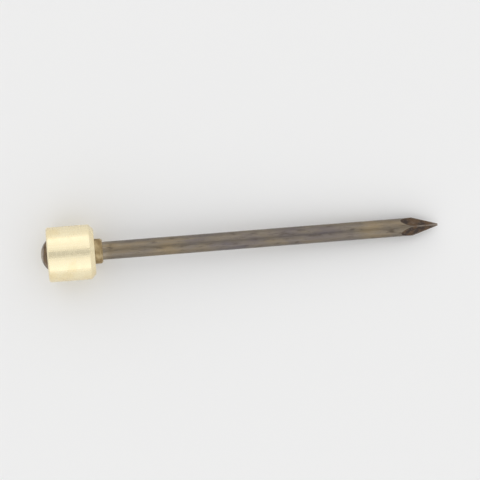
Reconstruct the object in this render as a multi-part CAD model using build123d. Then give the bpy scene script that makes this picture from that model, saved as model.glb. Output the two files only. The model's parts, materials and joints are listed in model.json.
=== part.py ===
from build123d import *
import math
import os

# A picture hanging nail: a turned brass head riveted onto a pointed pin of blued steel.
# Sizes are in millimetres and angles in degrees. The nail lies as it comes to rest, on the
# rim of its head and the heel of its point, with the head towards -X and the tip towards +X.

# Whole nail, along its axis from the top of the riveted dome to the tip of the point
nail_length = 25.4

# Brass head: a short barrel with a flat end and a bevelled shoulder
head_diameter = 3.5
head_length = 3.0
end_edge_round = 0.15
shoulder_bevel = 0.3
shoulder_angle = 45
shoulder_edge_round = 0.08

# Collar on the shoulder, around the pin
collar_length = 0.5
collar_wall = 0.22
collar_chamfer = 0.1

# Steel pin, with a tang that goes through the head line to line and a step that bears on the collar
pin_diameter = 1.15
tang_step = 0.175

# Dome on the flat end of the head, into which the tang's end is riveted over
dome_diameter = 1.9
dome_rise = 0.42

# Faceted point cut on the pin, with one of its ridges underneath
point_sides = 4
point_length = 2.4
tip_width = 0.1

# Sizes that follow from those above
head_radius = head_diameter / 2
pin_radius = pin_diameter / 2
tang_radius = pin_radius - tang_step
dome_radius = dome_diameter / 2
tip_radius = tip_width / 2
collar_radius = pin_radius + collar_wall
head_start = dome_rise
head_end = head_start + head_length
collar_end = head_end + collar_length
shoulder_start = head_end - shoulder_bevel
shoulder_radius = head_radius - shoulder_bevel * math.tan(math.radians(shoulder_angle))

# The heel is where a ridge of the point runs out into the pin's round wall
ridge_run = (pin_radius * math.cos(math.pi / point_sides) - tip_radius) / (pin_radius - tip_radius)
heel = nail_length - point_length * ridge_run


def rim(solid, place, radius):
    """Circular edges of a turned solid that lie at a place along its axis and have a radius."""
    circles = solid.edges().filter_by(GeomType.CIRCLE)
    here = [edge for edge in circles if math.isclose(edge.arc_center.X, place, abs_tol=1e-6)]
    return [edge for edge in here if math.isclose(edge.radius, radius, abs_tol=1e-6)]


def make_head():
    """Brass head around the X axis, with its collar towards +X and its bore right through it."""
    section = Polyline(
        (head_start, tang_radius),
        (head_start, head_radius),
        (shoulder_start, head_radius),
        (head_end, shoulder_radius),
        (head_end, collar_radius),
        (collar_end, collar_radius),
        (collar_end, tang_radius),
        close=True,
    )
    head = revolve(make_face(section), Axis.X)
    head = fillet(rim(head, head_start, head_radius), end_edge_round)
    head = fillet(rim(head, shoulder_start, head_radius), shoulder_edge_round)
    return chamfer(rim(head, collar_end, collar_radius), collar_chamfer)


def make_dome():
    """Riveted end of the pin, with its top at the origin and its flat side on the head."""
    top = TangentArc((0, 0), (dome_rise, dome_radius), tangent=(0, 1))
    seat = Polyline((dome_rise, dome_radius), (dome_rise, 0), (0, 0))
    return revolve(make_face(top + seat), Axis.X)


def make_pin():
    """Steel pin along +X, from the top of its dome at the origin to the tip of its point."""
    step = Plane(origin=(collar_end, 0, 0), z_dir=(1, 0, 0))
    shank = extrude(step * Circle(pin_radius), nail_length - collar_end)
    # Each facet leans in from the round wall to its side of the tip, in pairs about the ridge underneath
    lean = math.atan2(pin_radius - tip_radius, point_length)
    facet = Plane(origin=(nail_length, 0, -tip_radius), z_dir=(math.sin(lean), 0, -math.cos(lean)))
    for side in range(point_sides):
        turn = Rot(X=360 / point_sides * (side + 0.5))
        shank = split(shank, bisect_by=Plane(turn * facet.location), keep=Keep.BOTTOM)
    tang = extrude(step * Circle(tang_radius), head_start - collar_end)
    return shank + tang + make_dome()


def resting_tilt():
    """Slope of the axis when the nail lies on its heel and the rounded edge of its shoulder.

    The floor is then the line from the heel that touches the arc of the shoulder's edge.
    """
    arc_place = shoulder_start - shoulder_edge_round * math.tan(math.radians(shoulder_angle / 2))
    run = heel - arc_place
    drop = head_radius - shoulder_edge_round - pin_radius
    return math.degrees(math.atan2(drop, run) + math.asin(shoulder_edge_round / math.hypot(run, drop)))


def lay_down(pieces):
    """Pieces tilted to lie on the floor, with the middle of their footprint at the origin."""
    tilted = {name: Rot(Y=resting_tilt()) * piece for name, piece in pieces.items()}
    box = Compound(list(tilted.values())).bounding_box()
    middle = Pos(-box.center().X, 0, -box.min.Z)
    return {name: middle * piece for name, piece in tilted.items()}


os.makedirs("parts", exist_ok=True)
nail = lay_down({"brass_head": make_head(), "steel_pin": make_pin()})
for name, piece in nail.items():
    export_step(piece, f"parts/{name}.step")
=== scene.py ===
import json
import logging
import math
from bisect import bisect
from dataclasses import dataclass
from enum import Enum
from typing import Any, Mapping, Sequence, Union

import bmesh
import bpy
from mathutils import Matrix, Vector


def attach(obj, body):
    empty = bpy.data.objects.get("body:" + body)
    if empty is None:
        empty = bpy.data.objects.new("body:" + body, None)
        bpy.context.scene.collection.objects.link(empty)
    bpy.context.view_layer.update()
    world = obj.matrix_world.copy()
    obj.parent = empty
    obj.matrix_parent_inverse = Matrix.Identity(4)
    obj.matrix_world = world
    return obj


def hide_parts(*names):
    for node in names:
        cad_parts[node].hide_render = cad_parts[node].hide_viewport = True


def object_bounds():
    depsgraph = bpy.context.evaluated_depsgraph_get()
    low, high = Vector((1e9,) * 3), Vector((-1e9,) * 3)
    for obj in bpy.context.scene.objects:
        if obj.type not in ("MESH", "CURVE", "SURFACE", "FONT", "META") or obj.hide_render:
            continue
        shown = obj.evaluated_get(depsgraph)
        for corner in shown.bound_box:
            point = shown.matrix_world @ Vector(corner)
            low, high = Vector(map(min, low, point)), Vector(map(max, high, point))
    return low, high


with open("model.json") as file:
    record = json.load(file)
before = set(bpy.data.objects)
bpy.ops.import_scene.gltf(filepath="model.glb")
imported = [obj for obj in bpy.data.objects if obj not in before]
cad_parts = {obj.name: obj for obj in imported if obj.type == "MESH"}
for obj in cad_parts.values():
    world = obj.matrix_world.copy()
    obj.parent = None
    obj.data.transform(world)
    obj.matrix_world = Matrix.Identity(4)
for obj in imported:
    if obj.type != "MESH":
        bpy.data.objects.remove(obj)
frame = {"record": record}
cad_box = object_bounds()

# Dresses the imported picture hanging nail: a turned brass head riveted onto a pointed pin of blued
# steel. Sizes are in millimetres along and out from the nail's axis, which starts at the top of the
# riveted dome, and become metres when a mesh is made. The shaders work in millimetres too. Only the
# studio is laid out in metres.

log = logging.getLogger("picture_hanging_nail")

MM = 0.001

# Edges that turn by more than this are shown as creases, and rounded edges turn by less at each step
CREASE_ANGLE = math.radians(12)
ARC_STEP = math.radians(5)

# Places of the Mix node's sockets for colours, whose names are those of its sockets for numbers too
MIX_SHARE = 0
MIX_FIRST = 6
MIX_SECOND = 7
MIX_BLEND = 2

Number = Union[int, float]
Colour = tuple[float, float, float]
Point = tuple[float, float]
Row = list[Vector]


class Maths(Enum):
    """Operations of the Math node that the finishes use."""

    ADD = "ADD"
    SUBTRACT = "SUBTRACT"
    MULTIPLY = "MULTIPLY"
    ROOT = "SQRT"
    SMALLER = "MINIMUM"
    LARGER = "MAXIMUM"
    SIZE = "ABSOLUTE"


class Wire:
    """Output of a shader node, on which Python's operators add Math nodes."""

    def __init__(self, tree: "NodeTree", socket: bpy.types.NodeSocket) -> None:
        """Keeps the socket and the tree that it belongs to."""
        self.tree = tree
        self.socket = socket

    def __add__(self, other: "Term") -> "Wire":
        """This value plus another."""
        return self.tree.maths(Maths.ADD, self, other)

    def __radd__(self, other: Number) -> "Wire":
        """A number plus this value."""
        return self.tree.maths(Maths.ADD, other, self)

    def __sub__(self, other: "Term") -> "Wire":
        """This value less another."""
        return self.tree.maths(Maths.SUBTRACT, self, other)

    def __rsub__(self, other: Number) -> "Wire":
        """A number less this value."""
        return self.tree.maths(Maths.SUBTRACT, other, self)

    def __mul__(self, other: "Term") -> "Wire":
        """This value times another."""
        return self.tree.maths(Maths.MULTIPLY, self, other)

    def __rmul__(self, other: Number) -> "Wire":
        """A number times this value."""
        return self.tree.maths(Maths.MULTIPLY, other, self)

    def __abs__(self) -> "Wire":
        """This value without its sign."""
        return self.tree.maths(Maths.SIZE, self)


Term = Union[Wire, Number]
Input = Union[Wire, Number, Sequence[float]]


def opaque(colour: Colour) -> tuple[float, float, float, float]:
    """Colour with nothing showing through it."""
    return (*colour, 1.0)


class NodeTree:
    """Shader nodes and the links between them."""

    def __init__(self, tree: bpy.types.NodeTree) -> None:
        """Keeps the tree's nodes and links."""
        self.nodes = tree.nodes
        self.links = tree.links

    def feed(self, node: bpy.types.Node, inputs: Mapping[Union[int, str], Input]) -> None:
        """Links or sets sockets of a node.

        Args:
            node: The node.
            inputs: What goes into each socket, by its name or place.
        """
        for socket, value in inputs.items():
            if isinstance(value, Wire):
                self.links.new(value.socket, node.inputs[socket])
            else:
                node.inputs[socket].default_value = value

    def node(
        self,
        kind: str,
        settings: Mapping[str, Any],
        inputs: Mapping[Union[int, str], Input],
        output: Union[int, str] = 0,
    ) -> Wire:
        """Adds a node.

        Args:
            kind: The node's type.
            settings: Its settings, set before its sockets. The stops of a ramp are pairs of place
                and colour.
            inputs: What goes into its sockets.
            output: The socket that it gives back, by its name or place.

        Returns:
            That output.
        """
        made = self.nodes.new(kind)
        for name, value in settings.items():
            if name == "stops":
                self.set_stops(made.color_ramp, value)
            else:
                setattr(made, name, value)
        self.feed(made, inputs)
        return Wire(self, made.outputs[output])

    @staticmethod
    def set_stops(ramp: bpy.types.ColorRamp, stops: Sequence[tuple[float, Colour]]) -> None:
        """Puts stops on a colour ramp.

        Args:
            ramp: The ramp, new, with two stops.
            stops: Places from 0 to 1 and their colours, at least two.
        """
        while len(ramp.elements) < len(stops):
            ramp.elements.new(1.0)
        for element, (place, colour) in zip(ramp.elements, stops):
            element.position = place
            element.color = opaque(colour)

    def maths(self, operation: Maths, *terms: Term) -> Wire:
        """Result of a Math node that works on some values or numbers."""
        return self.node("ShaderNodeMath", {"operation": operation.value}, dict(enumerate(terms)))

    def ramp(self, value: Wire, start: float, end: float) -> Wire:
        """Smooth step from 0 to 1.

        Args:
            value: The value that is stepped.
            start: Value at which the result is 0.
            end: Value at which the result is 1, above or below the start.

        Returns:
            The step, from 0 to 1.
        """
        if start > end:
            return 1 - self.ramp(value, end, start)
        span = {"Value": value, "From Min": start, "From Max": end}
        return self.node("ShaderNodeMapRange", {"interpolation_type": "SMOOTHSTEP"}, span)

    def mix(self, share: Wire, first: Union[Wire, Colour], second: Colour) -> Wire:
        """Blends two colours.

        Args:
            share: Share of the second colour, from 0 to 1.
            first: The first colour.
            second: The second colour.

        Returns:
            The blend.
        """
        start = first if isinstance(first, Wire) else opaque(first)
        inputs = {MIX_SHARE: share, MIX_FIRST: start, MIX_SECOND: opaque(second)}
        return self.node("ShaderNodeMix", {"data_type": "RGBA"}, inputs, output=MIX_BLEND)

    def stretch(self, vector: Wire, factors: Sequence[float]) -> Wire:
        """Scales a vector by a factor along each axis."""
        return self.node("ShaderNodeVectorMath", {"operation": "MULTIPLY"}, {0: vector, 1: factors})

    def bump(self, height: Wire) -> Wire:
        """Surface relief from a height in millimetres."""
        return self.node("ShaderNodeBump", {}, {"Height": height, "Strength": 1.0, "Distance": MM})


class FinishTree(NodeTree):
    """Node tree of one finish, which ends in a Principled shader."""

    def __init__(self, name: str) -> None:
        """Makes a material with that name.

        Args:
            name: The material's name.
        """
        self.material = bpy.data.materials.new(name)
        self.material.use_nodes = True
        super().__init__(self.material.node_tree)

    def finish(self, surface: Mapping[str, Input]) -> bpy.types.Material:
        """Feeds the shader's sockets, and gives back the finished material."""
        self.feed(self.nodes["Principled BSDF"], surface)
        return self.material

    def metal(
        self,
        colour: Wire,
        roughness: Wire,
        relief: Wire,
        bareness: Term = 1.0,
    ) -> bpy.types.Material:
        """Finishes a metal.

        Args:
            colour: Its colour.
            roughness: Its roughness.
            relief: Height of its surface, in millimetres.
            bareness: How bare the metal is, from 0 to 1.

        Returns:
            The finished material.
        """
        surface = {"Metallic": bareness, "Base Color": colour, "Roughness": roughness}
        surface["Normal"] = self.bump(relief)
        return self.finish(surface)


class AxisPlace:
    """Where a shaded point is, in millimetres, along and around the nail's axis."""

    def __init__(self, tree: FinishTree, placement: Matrix) -> None:
        """Reads the point's place, and turns it back from the row frame to the axis.

        Args:
            tree: The finish that uses the place.
            placement: Matrix that lays a point on the axis in the row frame.
        """
        metres = tree.node("ShaderNodeTexCoord", {}, {}, output="Object")
        laid = {
            "Vector": metres,
            "Location": placement.to_translation(),
            "Rotation": placement.to_euler(),
            "Scale": placement.to_scale(),
        }
        self.tree = tree
        self.vector = tree.node("ShaderNodeMapping", {"vector_type": "TEXTURE"}, laid)
        self.along, self.across, self.up = (
            tree.node("ShaderNodeSeparateXYZ", {}, {0: self.vector}, output=axis) for axis in "XYZ"
        )
        self.out = self.length(self.across, self.up)

    def length(self, first: Wire, second: Wire) -> Wire:
        """Length of the long side of a right triangle."""
        return self.tree.maths(Maths.ROOT, first * first + second * second)

    def from_circle(self, along: float, out: float) -> Wire:
        """Distance from a circle round the axis, at a place along it and with a radius."""
        return self.length(self.along - along, self.out - out)


@dataclass(frozen=True)
class Grain:
    """Noise on a finish, which is drawn out along the nail where its scale along the axis is small."""

    per_mm: float
    detail: float
    axial_scale: float = 1.0

    def through(self, place: AxisPlace) -> Wire:
        """Cloudy noise through the metal.

        Args:
            place: Where the shaded point is.

        Returns:
            The noise, from 0 to 1 and mostly near 0.5.
        """
        drawn = place.tree.stretch(place.vector, (self.axial_scale, 1.0, 1.0))
        inputs = {"Vector": drawn, "Scale": self.per_mm, "Detail": self.detail}
        return place.tree.node("ShaderNodeTexNoise", {}, inputs)

    def lines(self, distance: Wire) -> Wire:
        """Noise that changes one way only, with a distance in millimetres, as turning lines do."""
        inputs = {"W": distance, "Scale": self.per_mm, "Detail": self.detail}
        return distance.tree.node("ShaderNodeTexNoise", {"noise_dimensions": "1D"}, inputs)


@dataclass(frozen=True)
class Layer:
    """Layer that a noise brings in, from where it starts to where it is full and has its whole share."""

    start: float
    full: float
    share: float = 1.0

    def mask(self, noise: Wire) -> Wire:
        """Where the layer is, from 0 to 1."""
        return noise.tree.ramp(noise, self.start, self.full)

    def over(self, noise: Wire) -> Wire:
        """How much the layer adds, from 0 to its share."""
        return self.share * self.mask(noise)


@dataclass(frozen=True)
class PolishedBrass:
    """Bright brass rod: fine lines along the barrel, turned rings on its ends, and painted shade, partly
    tarnishing, at the collar and round the dome.
    """

    bright: Colour = (0.945, 0.84, 0.575)
    deep: Colour = (0.88, 0.71, 0.4)
    # Brown of the collar and the dome's seam: partly tarnishing, partly painted shade
    tarnish_and_shade_brown: Colour = (0.22, 0.135, 0.042)
    roughness: float = 0.24
    tarnish_and_shade_roughness: float = 0.28
    tarnish_and_shade_dullness: float = 0.6
    tarnish_and_shade_share: float = 0.9
    clouds: Grain = Grain(per_mm=0.9, detail=4.0)
    smears: Grain = Grain(per_mm=1.8, detail=5.0, axial_scale=2.0)
    streaks: Grain = Grain(per_mm=13.0, detail=3.0, axial_scale=0.02)
    rings: Grain = Grain(per_mm=26.0, detail=3.0)
    deep_clouds: Layer = Layer(start=0.42, full=0.72, share=0.6)
    deep_streaks: Layer = Layer(start=0.5, full=0.75, share=0.3)
    deep_rings: Layer = Layer(start=0.4, full=0.7, share=0.5)
    rough_smears: Layer = Layer(start=0.4, full=0.7, share=0.1)
    tarnish_and_shade_patches: Layer = Layer(start=0.3, full=0.6, share=0.4)
    streak_depth: float = 0.006
    ring_depth: float = 0.0012
    edge_width: float = 0.06
    wall_width: float = 0.02
    collar_reach: float = 0.35
    dome_shade_reach: float = 0.08

    def material(self, head: "BrassHead") -> bpy.types.Material:
        """Makes the material.

        Args:
            head: The head that takes it, whose corners guide the finish.

        Returns:
            The material.
        """
        tree = FinishTree("polished_brass")
        place = AxisPlace(tree, head.placement)
        streaks = self.streaks.through(place)
        # Runs out over the flat end and in over the shoulder, so that lines on it are the lathe's rings
        rings = self.rings.lines(place.along - place.out)
        clouds = self.clouds.through(place)
        smears = self.smears.through(place)

        barrel = tree.ramp(place.out, head.radius - self.edge_width, head.radius - self.wall_width)
        # The collar is browned, dulled and roughened: partly tarnishing, partly painted shade in the
        # corner between the barrel and the pin
        collar = tree.ramp(place.out, head.collar_radius + self.collar_reach, head.collar_radius)
        collar = collar * tree.ramp(place.along, head.end - self.edge_width, head.end)
        # Painted contact shade: a thin brown ring on the flat end round the dome's seam
        dome_seam_shade = tree.ramp(place.from_circle(head.start, head.dome_radius), self.dome_shade_reach, 0.0)
        patchy = 1 - self.tarnish_and_shade_patches.share + self.tarnish_and_shade_patches.over(smears)
        tarnish_and_shade = tree.maths(Maths.LARGER, collar, dome_seam_shade) * patchy

        colour = tree.mix(self.deep_clouds.over(clouds), self.bright, self.deep)
        colour = tree.mix(self.deep_streaks.over(streaks) * barrel, colour, self.deep)
        colour = tree.mix(self.deep_rings.over(rings) * (1 - barrel), colour, self.deep)
        colour = tree.mix(self.tarnish_and_shade_share * tarnish_and_shade, colour, self.tarnish_and_shade_brown)
        roughness = (
            self.roughness
            + self.rough_smears.over(smears)
            + self.tarnish_and_shade_roughness * tarnish_and_shade
        )
        bareness = 1 - self.tarnish_and_shade_dullness * tarnish_and_shade
        relief = self.streak_depth * (streaks * barrel) + self.ring_depth * (rings * (1 - barrel))
        return tree.metal(colour, roughness, relief, bareness)


@dataclass(frozen=True)
class BluedSteel:
    """Drawn steel wire, hardened and blued, with streaks along it and a mottled temper colour."""

    violet: Colour = (0.16, 0.14, 0.14)
    grey: Colour = (0.21, 0.178, 0.14)
    straw: Colour = (0.26, 0.203, 0.13)
    scale: Colour = (0.09, 0.073, 0.058)
    rubbed: Colour = (0.40, 0.355, 0.295)
    roughness: float = 0.27
    scaled_roughness: float = 0.2
    streaks: Grain = Grain(per_mm=7.0, detail=3.0, axial_scale=0.03)
    fine_streaks: Grain = Grain(per_mm=34.0, detail=2.0, axial_scale=0.03)
    mottle: Grain = Grain(per_mm=0.8, detail=5.0, axial_scale=0.5)
    specks: Grain = Grain(per_mm=5.0, detail=5.0, axial_scale=0.3)
    violet_place: float = 0.34
    grey_place: float = 0.5
    straw_place: float = 0.66
    streaked_temper: float = 0.2
    scale_specks: Layer = Layer(start=0.5, full=0.8, share=0.8)
    bright_streaks: Layer = Layer(start=0.55, full=0.75, share=0.35)
    rubbed_streaks: Layer = Layer(start=0.4, full=0.65, share=0.6)
    rough_streaks: Layer = Layer(start=0.35, full=0.7, share=0.16)
    streak_depth: float = 0.004
    fine_streak_share: float = 0.4
    scale_pit_share: float = 0.5
    rub_reach: float = 0.5

    def material(self, pin: "SteelPin") -> bpy.types.Material:
        """Makes the material.

        Args:
            pin: The pin that takes it, which is rubbed where it meets the collar.

        Returns:
            The material.
        """
        tree = FinishTree("blued_steel")
        place = AxisPlace(tree, pin.placement)
        streaks = self.streaks.through(place)
        fine = self.fine_streaks.through(place)
        mottle = self.mottle.through(place)
        specks = self.specks.through(place)

        stops = [
            (self.violet_place, self.violet),
            (self.grey_place, self.grey),
            (self.straw_place, self.straw),
        ]
        temper = mottle * (1 - self.streaked_temper) + streaks * self.streaked_temper
        tint = tree.node("ShaderNodeValToRGB", {"stops": stops}, {0: temper})
        scaled = self.scale_specks.mask(specks)
        rubbed = tree.ramp(place.along, pin.collar_end + self.rub_reach, pin.collar_end)
        rubbed = rubbed * self.rubbed_streaks.mask(fine)
        colour = tree.mix(self.scale_specks.share * scaled, tint, self.scale)
        colour = tree.mix(self.bright_streaks.over(fine), colour, self.rubbed)
        colour = tree.mix(self.rubbed_streaks.share * rubbed, colour, self.rubbed)
        roughness = (
            self.roughness
            + self.rough_streaks.over(streaks)
            + self.scaled_roughness * scaled
        )
        relief = self.streak_depth * (
            streaks + self.fine_streak_share * fine - self.scale_pit_share * scaled
        )
        return tree.metal(colour, roughness, relief)


@dataclass(frozen=True)
class CutSteel:
    """The cut faces of the point, browned by the hardening, with ridges rubbed bright and given a painted
    highlight.
    """

    brown: Colour = (0.125, 0.08, 0.05)
    dark: Colour = (0.06, 0.045, 0.038)
    ridge: Colour = (0.34, 0.29, 0.24)
    roughness: float = 0.3
    ridge_wear_and_highlight_smoothness: float = 0.1
    marks: Grain = Grain(per_mm=16.0, detail=3.0, axial_scale=0.18)
    chatter: Grain = Grain(per_mm=8.0, detail=2.0)
    mottle: Grain = Grain(per_mm=2.2, detail=4.0)
    dark_mottle: Layer = Layer(start=0.38, full=0.66)
    bright_marks: Layer = Layer(start=0.5, full=0.75, share=0.4)
    rough_marks: Layer = Layer(start=0.4, full=0.7, share=0.2)
    ridge_wear_and_highlight_patches: Layer = Layer(start=0.3, full=0.6, share=0.75)
    mark_depth: float = 0.004
    chatter_share: float = 0.5
    ridge_wear_and_highlight_reach: float = 0.07
    tip_reach: float = 0.5
    tip_share: float = 0.5

    def material(self, pin: "SteelPin") -> bpy.types.Material:
        """Makes the material.

        Args:
            pin: The pin that takes it, whose tip is rubbed.

        Returns:
            The material.
        """
        tree = FinishTree("cut_steel")
        place = AxisPlace(tree, pin.placement)
        marks = self.marks.through(place)
        chatter = self.chatter.lines(place.along)
        mottle = self.mottle.through(place)

        # The ridges lie straight up, down and to both sides of the axis
        from_ridge = tree.maths(Maths.SMALLER, abs(place.across), abs(place.up))
        # The ridges are lightened and smoothed in patches: partly wear, partly a painted highlight along
        # the edges
        rubbed = tree.ramp(from_ridge, self.ridge_wear_and_highlight_reach, 0.0) * self.ridge_wear_and_highlight_patches.mask(mottle)
        tip = tree.ramp(place.along, pin.nail_length - self.tip_reach, pin.nail_length)
        colour = tree.mix(self.dark_mottle.mask(mottle), self.brown, self.dark)
        colour = tree.mix(self.bright_marks.over(marks), colour, self.ridge)
        colour = tree.mix(self.ridge_wear_and_highlight_patches.share * rubbed, colour, self.ridge)
        colour = tree.mix(self.tip_share * tip, colour, self.ridge)
        roughness = self.roughness + self.rough_marks.over(marks) - self.ridge_wear_and_highlight_smoothness * rubbed
        relief = self.mark_depth * (marks + self.chatter_share * chatter)
        return tree.metal(colour, roughness, relief)


@dataclass(frozen=True)
class RivetedSteel:
    """The dome that the tang's end is riveted over into: browned, hammer marked, and lighter on top from
    hammer wear and a painted highlight.
    """

    brown: Colour = (0.22, 0.15, 0.088)
    dark: Colour = (0.115, 0.08, 0.051)
    # Light steel of the dome's middle: partly hammer wear, partly a painted highlight
    wear_and_highlight: Colour = (0.58, 0.51, 0.42)
    roughness: float = 0.17
    mottle: Grain = Grain(per_mm=2.6, detail=4.0)
    dark_mottle: Layer = Layer(start=0.3, full=0.75)
    rough_mottle: Layer = Layer(start=0.4, full=0.7, share=0.12)
    wear_and_highlight_patches: Layer = Layer(start=0.15, full=0.55, share=0.9)
    marks_per_mm: float = 2.8
    mark_smoothness: float = 0.35
    mark_depth: float = 0.085
    wear_and_highlight_reach: float = 0.72
    struck_reach: float = 0.2

    def material(self, pin: "SteelPin") -> bpy.types.Material:
        """Makes the material.

        Args:
            pin: The pin that takes it, whose dome is lighter on top from wear and a painted highlight.

        Returns:
            The material.
        """
        tree = FinishTree("riveted_steel")
        place = AxisPlace(tree, pin.placement)
        marks = tree.node(
            "ShaderNodeTexVoronoi",
            {"feature": "SMOOTH_F1"},
            {"Vector": place.vector, "Scale": self.marks_per_mm, "Smoothness": self.mark_smoothness},
            output="Distance",
        )
        mottle = self.mottle.through(place)

        # The dome is lightened towards its middle and left dark at its rim: partly hammer wear, partly a
        # painted highlight that makes it read as round
        wear_and_highlight = tree.ramp(place.out, self.wear_and_highlight_reach, self.struck_reach) * self.wear_and_highlight_patches.mask(mottle)
        colour = tree.mix(self.dark_mottle.mask(mottle), self.brown, self.dark)
        colour = tree.mix(self.wear_and_highlight_patches.share * wear_and_highlight, colour, self.wear_and_highlight)
        roughness = self.roughness + self.rough_mottle.over(mottle)
        relief = self.mark_depth * (marks * marks)
        return tree.metal(colour, roughness, relief)


@dataclass(frozen=True)
class PaleFloor:
    """Plain matt floor under the nail."""

    colour: Colour = (0.88, 0.88, 0.875)
    roughness: float = 0.9

    def material(self) -> bpy.types.Material:
        """Makes the material."""
        tree = FinishTree("pale_floor")
        return tree.finish({"Base Color": opaque(self.colour), "Roughness": self.roughness})


class NailAxis:
    """The nail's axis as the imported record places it, from the top of the riveted dome to the tip."""

    def __init__(self, record: Mapping[str, Any]) -> None:
        """Reads the axis from the mounts.

        Args:
            record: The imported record.
        """
        mounts = {mount["name"]: mount for mount in record["mounts"]}
        self.direction = Vector(mounts["shank"]["axis"]).normalized()
        self.shank_length: float = mounts["shank"]["dims"]["length_mm"]
        self.pin_radius: float = mounts["shank"]["dims"]["r_mm"]
        self.head_seat = Vector(mounts["head_seat"]["pos_m"])

    def placement(self, head_end: float) -> Matrix:
        """Matrix that lays points made along +X, in millimetres, onto the axis.

        Args:
            head_end: Place along the axis of the flat ring on the head's shoulder.

        Returns:
            The matrix, whose results are in metres.
        """
        across = Vector((0, 1, 0))
        up = self.direction.cross(across)
        turn = Matrix((self.direction, across, up)).transposed().to_4x4()
        dome_top = self.head_seat - head_end * MM * self.direction
        return Matrix.Translation(dome_top) @ turn @ Matrix.Scale(MM, 4)


def arc(along: float, out: float, radius: float, start: float, end: float) -> list[Point]:
    """Points on an arc of a turned outline.

    Args:
        along: Place of the arc's middle along the axis.
        out: Distance of the arc's middle from the axis.
        radius: The arc's radius.
        start: Angle of its first point, 0 towards the dome and a quarter turn straight out.
        end: Angle of its last point.

    Returns:
        The points, as places along and out from the axis.
    """
    steps = math.ceil(abs(end - start) / ARC_STEP)
    angles = [start + (end - start) * step / steps for step in range(steps + 1)]
    return [(along - radius * math.cos(angle), out + radius * math.sin(angle)) for angle in angles]


def run(start: Point, end: Point, spacing: float) -> list[Point]:
    """Points on a straight run of a turned outline, without its two ends.

    Args:
        start: The run's start, as places along and out from the axis.
        end: The run's end.
        spacing: Greatest distance between the points.

    Returns:
        The points.
    """
    steps = math.ceil(math.dist(start, end) / spacing)
    shares = [step / steps for step in range(1, steps)]
    return [tuple(a + (b - a) * share for a, b in zip(start, end)) for share in shares]


def ring(along: float, out: float, columns: int) -> Row:
    """Points of a circle round the axis, or its one point on the axis.

    Args:
        along: The circle's place along the axis.
        out: The circle's radius, or 0 for a point.
        columns: Number of points on a circle.

    Returns:
        The points, in millimetres.
    """
    if out == 0:
        return [Vector((along, 0, 0))]
    angles = [math.tau * column / columns for column in range(columns)]
    return [Vector((along, out * math.cos(angle), out * math.sin(angle))) for angle in angles]


def add_object(name: str, data: bpy.types.ID) -> bpy.types.Object:
    """Puts an object into the scene.

    Args:
        name: Name of the object.
        data: The mesh, lamp or camera that it shows.

    Returns:
        The object.
    """
    made = bpy.data.objects.new(name, data)
    bpy.context.scene.collection.objects.link(made)
    return made


def add_mesh(name: str, shape: bmesh.types.BMesh) -> bpy.types.Object:
    """Puts a shape into the scene as a mesh, and frees it.

    Args:
        name: Name of the object and its mesh.
        shape: The shape.

    Returns:
        The object.
    """
    mesh = bpy.data.meshes.new(name)
    shape.to_mesh(mesh)
    shape.free()
    return add_object(name, mesh)


def skin(
    name: str,
    rows: Sequence[Row],
    placement: Matrix,
    finish_starts: Sequence[int] = (),
) -> bpy.types.Object:
    """Makes a closed mesh that runs through rows of points round the axis.

    Args:
        name: Name of the object.
        rows: Rows of points in millimetres. They run from one point on the axis to another, or their
            last row closes on the first.
        placement: Matrix that lays the points on the axis in the row frame.
        finish_starts: Rows from which the faces take the second material and those after it.

    Returns:
        The object, with its edges creased.
    """
    shape = bmesh.new()
    made = [[shape.verts.new(placement @ point) for point in row] for row in rows]
    following = made[1:] + (made[:1] if len(made[0]) > 1 else [])
    for band, (near, far) in enumerate(zip(made, following)):
        columns = max(len(near), len(far))
        for column in range(columns):
            after = (column + 1) % columns
            corners = [near[column % len(near)], far[column % len(far)]]
            corners += [far[after]] if len(far) > 1 else []
            corners += [near[after]] if len(near) > 1 else []
            face = shape.faces.new(corners)
            face.smooth = True
            face.material_index = bisect(finish_starts, band)
    bmesh.ops.recalc_face_normals(shape, faces=shape.faces)
    for edge in shape.edges:
        edge.smooth = edge.calc_face_angle(0.0) < CREASE_ANGLE
    return add_mesh(name, shape)


def report(piece: bpy.types.Object) -> None:
    """Writes a piece's name and number of faces to the log."""
    log.info("%s: %d faces", piece.name, len(piece.data.polygons))


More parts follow.
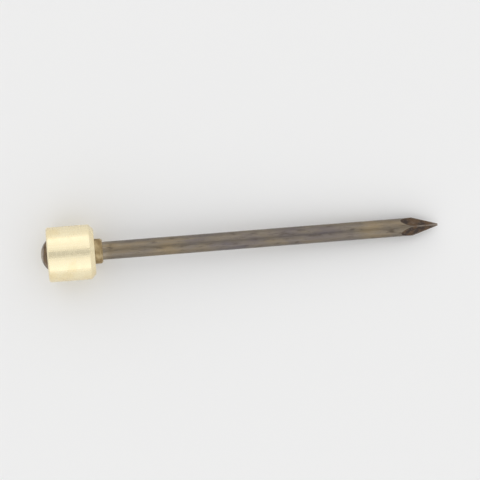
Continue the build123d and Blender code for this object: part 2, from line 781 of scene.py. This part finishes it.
@dataclass
class BrassHead:
    """Head turned from brass rod: a bored barrel with a flat end, a bevelled shoulder and a collar."""

    axis: NailAxis
    radius: float = 1.75
    start: float = 0.42
    length: float = 3.0
    end_edge_round: float = 0.15
    shoulder_bevel: float = 0.3
    shoulder_angle: float = math.radians(45)
    shoulder_edge_round: float = 0.08
    collar_wall: float = 0.22
    collar_length: float = 0.5
    collar_chamfer: float = 0.1
    tang_step: float = 0.175
    dome_radius: float = 0.95
    columns: int = 192
    row_spacing: float = 0.12
    finish: PolishedBrass = PolishedBrass()

    @property
    def placement(self) -> Matrix:
        """Matrix that lays points of the nail on its axis in the row frame."""
        return self.axis.placement(self.end)

    @property
    def end(self) -> float:
        """Place of the flat ring on the shoulder."""
        return self.start + self.length

    @property
    def collar_radius(self) -> float:
        """Radius of the collar."""
        return self.axis.pin_radius + self.collar_wall

    @property
    def collar_end(self) -> float:
        """Place where the collar ends."""
        return self.end + self.collar_length

    @property
    def tang_radius(self) -> float:
        """Radius of the bore and of the tang in it."""
        return self.axis.pin_radius - self.tang_step

    def outline(self) -> list[Point]:
        """Turned outline from the bore out over the flat end and back in to the bore at the collar.

        Returns:
            Its points, as places along and out from the axis.
        """
        quarter = math.pi / 2
        flat_out = self.radius - self.end_edge_round
        barrel_start = self.start + self.end_edge_round
        shoulder_start = self.end - self.shoulder_bevel
        barrel_end = shoulder_start - self.shoulder_edge_round * math.tan(self.shoulder_angle / 2)
        shoulder_out = self.radius - self.shoulder_bevel * math.tan(self.shoulder_angle)

        points = [(self.start, self.tang_radius), (self.start, self.dome_radius)]
        points += run((self.start, self.dome_radius), (self.start, flat_out), self.row_spacing)
        points += arc(barrel_start, flat_out, self.end_edge_round, 0, quarter)
        points += run((barrel_start, self.radius), (barrel_end, self.radius), self.row_spacing)
        points += arc(
            barrel_end,
            self.radius - self.shoulder_edge_round,
            self.shoulder_edge_round,
            quarter,
            quarter + self.shoulder_angle,
        )
        points += [(self.end, shoulder_out), (self.end, self.collar_radius)]
        points += [
            (self.collar_end - self.collar_chamfer, self.collar_radius),
            (self.collar_end, self.collar_radius - self.collar_chamfer),
        ]
        return points + [(self.collar_end, self.tang_radius)]

    def build(self) -> bpy.types.Object:
        """Makes the head's mesh on the axis."""
        rows = [ring(along, out, self.columns) for along, out in self.outline()]
        return skin("turned_brass_head", rows, self.placement)

    def dress(self, head: bpy.types.Object) -> None:
        """Gives the head its finish and its place in the frame.

        Args:
            head: The head.
        """
        head.data.materials.append(self.finish.material(self))
        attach(head, "root")
        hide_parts("brass_head")


@dataclass
class SteelPin:
    """Pin of blued steel wire, with a tang riveted over the head and a point cut on four sides."""

    axis: NailAxis
    head: BrassHead
    point_length: float = 2.4
    point_sides: int = 4
    tip_width: float = 0.1
    columns: int = 128
    row_spacing: float = 0.25
    dome_finish: RivetedSteel = RivetedSteel()
    wall_finish: BluedSteel = BluedSteel()
    point_finish: CutSteel = CutSteel()

    @property
    def placement(self) -> Matrix:
        """Matrix that lays points of the nail on its axis in the row frame."""
        return self.head.placement

    @property
    def radius(self) -> float:
        """Radius of the pin."""
        return self.axis.pin_radius

    @property
    def collar_end(self) -> float:
        """Place where the pin leaves the collar."""
        return self.head.collar_end

    @property
    def taper(self) -> float:
        """Run of a cut face along the axis for each millimetre towards it."""
        return self.point_length / (self.radius - self.tip_width / 2)

    @property
    def nail_length(self) -> float:
        """Place of the tip, worked out from the heel where a ridge meets the pin's round wall.

        Returns:
            The place along the axis.
        """
        heel = self.collar_end + self.axis.shank_length
        ridge_depth = self.radius * math.cos(math.pi / self.point_sides) - self.tip_width / 2
        return heel + self.taper * ridge_depth

    def from_face(self, column: int) -> float:
        """Angle of a column from the middle of its cut face, with a ridge at the first column."""
        face_angle = math.tau / self.point_sides
        return (math.tau * column / self.columns) % face_angle - face_angle / 2

    def cut_row(self) -> Row:
        """Points where the cut faces run out into the round wall.

        Returns:
            The points, in millimetres.
        """
        points = ring(0, self.radius, self.columns)
        for column, point in enumerate(points):
            depth = self.radius * math.cos(self.from_face(column)) - self.tip_width / 2
            point.x = self.nail_length - self.taper * depth
        return points

    def tip_row(self) -> Row:
        """Points round the edge of the tip's small flat.

        Returns:
            The points, in millimetres.
        """
        points = ring(self.nail_length, self.tip_width / 2, self.columns)
        for column, point in enumerate(points):
            point.yz = point.yz / math.cos(self.from_face(column))
        return points

    def dome(self) -> list[Point]:
        """Outline of the riveted dome, from its top to its rim on the head.

        Returns:
            Its points, as places along and out from the axis.
        """
        rise, rim = self.head.start, self.head.dome_radius
        sphere_radius = (rim**2 + rise**2) / (2 * rise)
        return arc(sphere_radius, 0, sphere_radius, 0, math.asin(rim / sphere_radius))

    def build(self) -> bpy.types.Object:
        """Makes the pin's mesh on the axis.

        Returns:
            The pin.
        """
        dome = self.dome()
        wall_end = self.nail_length - self.point_length
        wall = [
            (self.head.start, self.head.tang_radius),
            (self.collar_end, self.head.tang_radius),
            (self.collar_end, self.radius),
        ]
        wall += run((self.collar_end, self.radius), (wall_end, self.radius), self.row_spacing)
        rows = [ring(along, out, self.columns) for along, out in dome + wall]
        rows += [self.cut_row(), self.tip_row(), ring(self.nail_length, 0, self.columns)]
        return skin("pointed_steel_pin", rows, self.placement, (len(dome), len(dome) + len(wall)))

    def dress(self, pin: bpy.types.Object) -> None:
        """Gives the pin its finishes and its place in the frame.

        Args:
            pin: The pin.
        """
        for finish in (self.dome_finish, self.wall_finish, self.point_finish):
            pin.data.materials.append(finish.material(self))
        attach(pin, "root")
        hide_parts("steel_pin")


class Side(Enum):
    """Sides of the nail that a lamp hangs on."""

    NEAR = -1
    FAR = 1


@dataclass
class Studio:
    """Pale floor, soft light from both sides, and a camera that looks straight down.

    Its sizes are in metres, apart from the camera's lens and sensor, which are in millimetres.
    """

    floor_width: float = 2.0
    sky_low: Colour = (0.95, 0.95, 0.95)
    sky_high: Colour = (0.6, 0.6, 0.605)
    lamp_distance: float = 0.3
    lamp_lean: float = math.radians(44)
    lamp_length: float = 0.7
    lamp_width: float = 0.36
    lamp_glow: float = 0.4
    lens: float = 200.0
    sensor: float = 36.0
    view_width: float = 0.0305
    view_turn: float = math.radians(-4.5)
    floor_finish: PaleFloor = PaleFloor()

    def build_floor(self) -> None:
        """Makes the floor under the nail."""
        shape = bmesh.new()
        bmesh.ops.create_grid(shape, x_segments=1, y_segments=1, size=self.floor_width / 2)
        floor = add_mesh("pale_floor", shape)
        floor.data.materials.append(self.floor_finish.material())

    def light_sky(self) -> None:
        """Lights the whole scene softly from all round, least from straight above."""
        world = bpy.data.worlds.new("soft_sky")
        world.use_nodes = True
        sky = NodeTree(world.node_tree)
        direction = sky.node("ShaderNodeTexCoord", {}, {}, output="Generated")
        height = sky.node("ShaderNodeSeparateXYZ", {}, {0: direction}, output="Z")
        stops = [(0.0, self.sky_low), (1.0, self.sky_high)]
        colour = sky.node("ShaderNodeValToRGB", {"stops": stops}, {0: height})
        sky.feed(sky.nodes["Background"], {"Color": colour})
        bpy.context.scene.world = world

    def hang_lamp(self, side: Side) -> None:
        """Hangs a long soft lamp beside the nail, along it.

        Args:
            side: The side it hangs on.
        """
        lamp = bpy.data.lights.new(f"{side.name.lower()}_lamp", "AREA")
        lamp.shape = "RECTANGLE"
        lamp.size = self.lamp_length
        lamp.size_y = self.lamp_width
        # The power at which a flat lamp of this area has that glow all over
        lamp.energy = self.lamp_glow * math.pi * self.lamp_length * self.lamp_width
        hung = add_object(lamp.name, lamp)
        lean = side.value * self.lamp_lean
        hung.location = self.lamp_distance * Vector((0, math.sin(lean), math.cos(lean)))
        hung.rotation_euler = (-lean, 0, 0)
        hung.visible_camera = False

    def place_camera(self, middle: Vector) -> None:
        """Places the camera above the nail.

        Args:
            middle: Middle of the nail.
        """
        optics = bpy.data.cameras.new("camera")
        optics.lens = self.lens
        optics.sensor_width = self.sensor
        optics.clip_start = MM
        camera = add_object("camera", optics)
        camera.location = middle + Vector((0, 0, self.view_width * self.lens / self.sensor))
        camera.rotation_euler = (0, 0, self.view_turn)
        bpy.context.scene.camera = camera

    def build(self, middle: Vector) -> None:
        """Sets the whole studio up.

        Args:
            middle: Middle of the nail.
        """
        self.build_floor()
        self.light_sky()
        for side in Side:
            self.hang_lamp(side)
        self.place_camera(middle)
        bpy.context.scene.view_settings.view_transform = "Standard"


def main() -> None:
    """Builds and dresses the nail, and sets the studio up round it."""
    logging.basicConfig(level=logging.INFO)
    axis = NailAxis(frame["record"])
    head = BrassHead(axis)
    pin = SteelPin(axis, head)
    for part in (head, pin):
        piece = part.build()
        part.dress(piece)
        report(piece)
    lowest, highest = cad_box
    Studio().build((lowest + highest) / 2)


if __name__ == "__main__":
    main()
